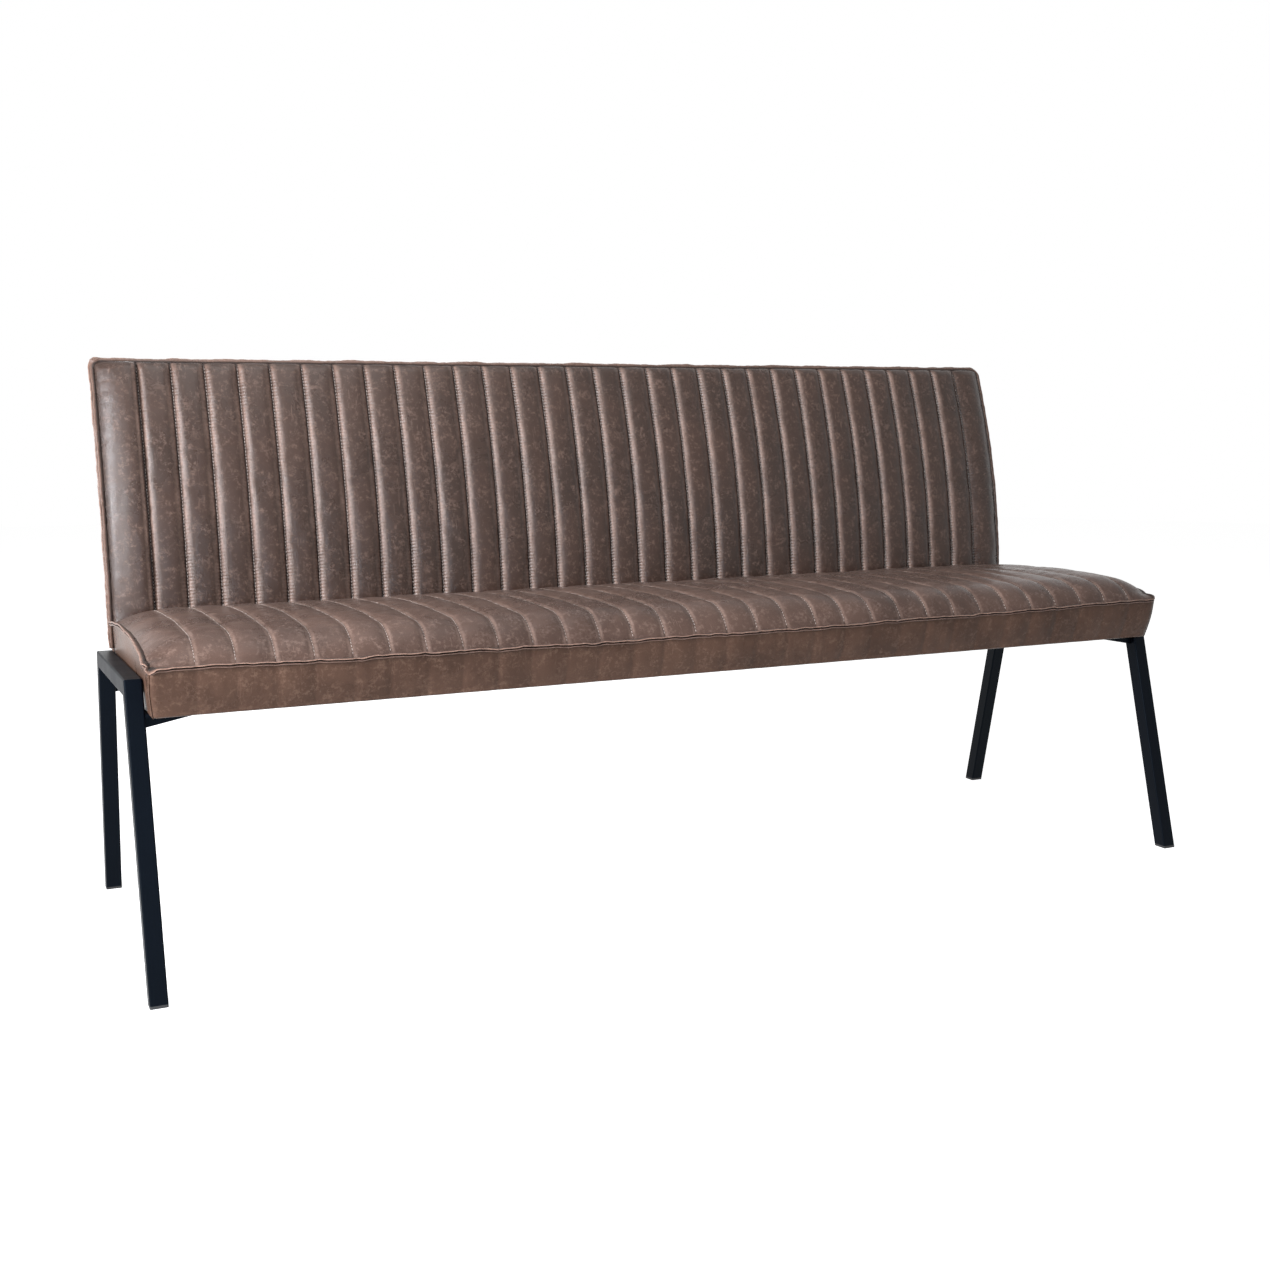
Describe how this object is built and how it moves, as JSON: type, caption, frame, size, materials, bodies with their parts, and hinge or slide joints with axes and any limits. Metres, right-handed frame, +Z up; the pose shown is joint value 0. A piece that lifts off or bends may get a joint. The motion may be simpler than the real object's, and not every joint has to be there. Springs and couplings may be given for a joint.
{
  "type": "upholstered dining bench",
  "caption": "Long dining bench with a channel-quilted brown leather seat and leaning back, raised edge seams, and splayed black square-tube end frames.",
  "frame": {"origin": "on the floor, under the middle of the bench's length and depth", "axes": "+X along the bench, +Y towards the back, +Z up; a sitter faces -Y"},
  "size_m": [1.8, 0.6504, 0.8744],
  "materials": {
    "black_frame": "satin black powder coat",
    "black_plastic": "matt moulded plastic",
    "quilted_leather": "aged brown leather, channel quilted",
    "plain_leather": "aged brown leather with a mottled surface",
    "seam_leather": "raised two-ply seam with pale raw edges",
    "timber": "planed timber",
    "plywood": "thin plywood",
    "foam": "open-cell cushion foam",
    "wadding": "soft polyester wadding",
    "webbing": "elastic webbing",
    "dust_cloth": "black non-woven cloth",
    "zinc_steel": "zinc-plated steel"
  },
  "bodies": {
    "root": {"back_board": "plywood", "back_dust_cover": "dust_cloth", "back_edge_seam": "seam_leather", "back_foam": "foam", "back_foot_rail": "timber", "back_inner_posts": "timber", "back_left_post": "timber", "back_lower_strip": "plain_leather", "back_quilted_panel": "quilted_leather", "back_rear_cover": "plain_leather", "back_rear_wadding": "wadding", "back_right_post": "timber", "back_screws": "zinc_steel", "back_top_rail": "timber", "bracket_screws": "zinc_steel", "left_front_bracket": "black_frame", "left_front_glide": "black_plastic", "left_front_leg": "black_frame", "left_rear_bracket": "black_frame", "left_rear_glide": "black_plastic", "left_rear_leg": "black_frame", "left_top_rail": "black_frame", "right_front_bracket": "black_frame", "right_front_glide": "black_plastic", "right_front_leg": "black_frame", "right_rear_bracket": "black_frame", "right_rear_glide": "black_plastic", "right_rear_leg": "black_frame", "right_top_rail": "black_frame", "seat_border": "plain_leather", "seat_cross_rails": "timber", "seat_dust_cover": "dust_cloth", "seat_edge_seam": "seam_leather", "seat_foam": "foam", "seat_front_rail": "timber", "seat_left_end_rail": "timber", "seat_quilted_panel": "quilted_leather", "seat_rear_rail": "timber", "seat_right_end_rail": "timber", "seat_webbing": "webbing"}
  },
  "joints": []
}
